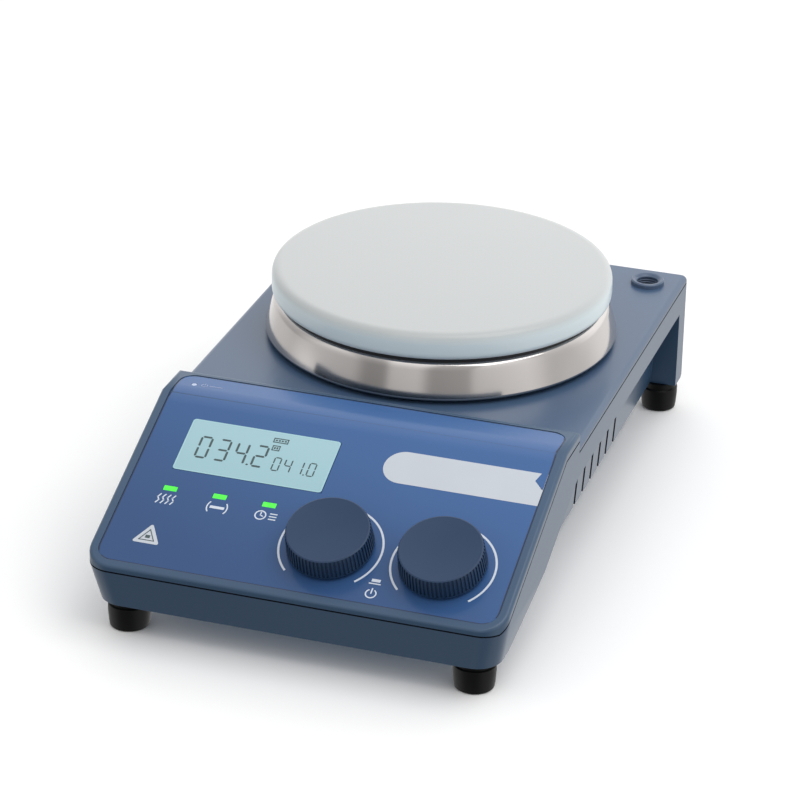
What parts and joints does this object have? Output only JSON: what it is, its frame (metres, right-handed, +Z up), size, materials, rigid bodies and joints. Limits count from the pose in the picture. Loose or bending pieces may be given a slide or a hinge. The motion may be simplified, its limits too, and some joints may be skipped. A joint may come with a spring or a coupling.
{
  "type": "magnetic stirrer",
  "caption": "Heating magnetic stirrer: sloped control panel with display and push-turn knobs, round white plate over a motor with spinning magnets, on rubber feet.",
  "frame": {"origin": "on the floor under the middle of the casing", "axes": "+X to the right seen from the control panel, +Y to the rear, +Z up"},
  "size_m": [0.16, 0.268, 0.086],
  "materials": {
    "casing_paint": "satin blue-grey coating",
    "panel_film": "smooth printed film",
    "display_window": "clear window",
    "display_module": "matt",
    "light_pipe": "glowing green",
    "circuit_board": "solder mask",
    "chip_black": "moulded",
    "knob_blue": "moulded, satin",
    "steel": "bright",
    "plate_enamel": "white enamel",
    "pan_steel": "polished stainless",
    "seal_black": "matt",
    "foot_rubber": "matt",
    "insulation": "fibre",
    "ceramic_white": "matt",
    "copper_winding": "enamelled wire",
    "aluminium": "plain",
    "magnet_nickel": "nickel plated",
    "connector_black": "moulded",
    "grey_ribbon": "flat cable",
    "brass_pins": "plated",
    "fuse_glass": "clear tube"
  },
  "bodies": {
    "casing": {"base_casing": "casing_paint", "deck_cover": "casing_paint", "control_bezel": "casing_paint", "panel_overlay": "panel_film", "lcd_window": "display_window", "lcd_module": "display_module", "status_lights": "light_pipe", "power_light": "light_pipe", "panel_board": "circuit_board", "heat_encoder": "steel", "stir_encoder": "steel", "plate_disc": "plate_enamel", "plate_pan": "pan_steel", "plate_seal": "seal_black", "heat_shield": "steel", "insulation_pad": "insulation", "heating_element": "ceramic_white", "plate_sensor": "steel", "thermal_cutout": "ceramic_white", "plate_standoffs": "steel", "plate_screws": "steel", "motor_bracket": "aluminium", "bracket_screws": "steel", "motor_housing": "aluminium", "motor_bearings": "steel", "motor_stator": "chip_black", "control_board": "circuit_board", "board_components": "chip_black", "transformer_core": "steel", "transformer_coil": "copper_winding", "rear_plate": "aluminium", "mains_inlet": "connector_black", "inlet_pins": "brass_pins", "rocker_housing": "connector_black", "sensor_socket_shell": "steel", "sensor_socket_insert": "connector_black", "serial_socket_shell": "steel", "serial_socket_insert": "connector_black", "front_left_foot": "foot_rubber", "rear_left_foot": "foot_rubber", "front_right_foot": "foot_rubber", "rear_right_foot": "foot_rubber", "foot_screws": "steel", "cover_screws": "steel", "small_screws": "steel", "ribbon_cable": "grey_ribbon", "rod_boss": "steel"},
    "magnet_drive": {"motor_rotor": "steel", "motor_shaft": "steel", "magnet_holder": "aluminium", "drive_magnets": "magnet_nickel"},
    "heat_plunger": {"heat_push_plate": "steel"},
    "heat_dial": {"heat_shaft": "steel", "heat_knob": "knob_blue"},
    "stir_plunger": {"stir_push_plate": "steel"},
    "stir_dial": {"stir_shaft": "steel", "stir_knob": "knob_blue"},
    "rocker": {"power_rocker": "connector_black"},
    "fuse_tray": {"fuse_drawer": "connector_black", "fuses": "fuse_glass"}
  },
  "joints": [
    {"name": "magnet_spin", "type": "hinge", "parent": "casing", "child": "magnet_drive", "pos_m": [0, 0.0458, 0.045], "axis": [0, 0, 1], "continuous": true},
    {"name": "heat_push", "type": "slide", "parent": "casing", "child": "heat_plunger", "axis": [0, 0.3885, -0.9214], "range_m": [0, 0.0008], "stiffness_N_per_m": 2500, "springref_m": -0.0012},
    {"name": "heat_turn", "type": "hinge", "parent": "heat_plunger", "child": "heat_dial", "pos_m": [0.0078, -0.10986, 0.03978], "axis": [0, -0.3885, 0.9214], "continuous": true},
    {"name": "stir_push", "type": "slide", "parent": "casing", "child": "stir_plunger", "axis": [0, 0.3885, -0.9214], "range_m": [0, 0.0008], "stiffness_N_per_m": 2500, "springref_m": -0.0012},
    {"name": "stir_turn", "type": "hinge", "parent": "stir_plunger", "child": "stir_dial", "pos_m": [0.0505, -0.10986, 0.03978], "axis": [0, -0.3885, 0.9214], "continuous": true},
    {"name": "power_rock", "type": "hinge", "parent": "casing", "child": "rocker", "pos_m": [-0.002, 0.1266, 0.03], "axis": [0, 0, 1], "range_deg": [0, 16]},
    {"name": "fuse_tray_slide", "type": "slide", "parent": "casing", "child": "fuse_tray", "axis": [0, 1, 0], "range_m": [0, 0.016]}
  ]
}
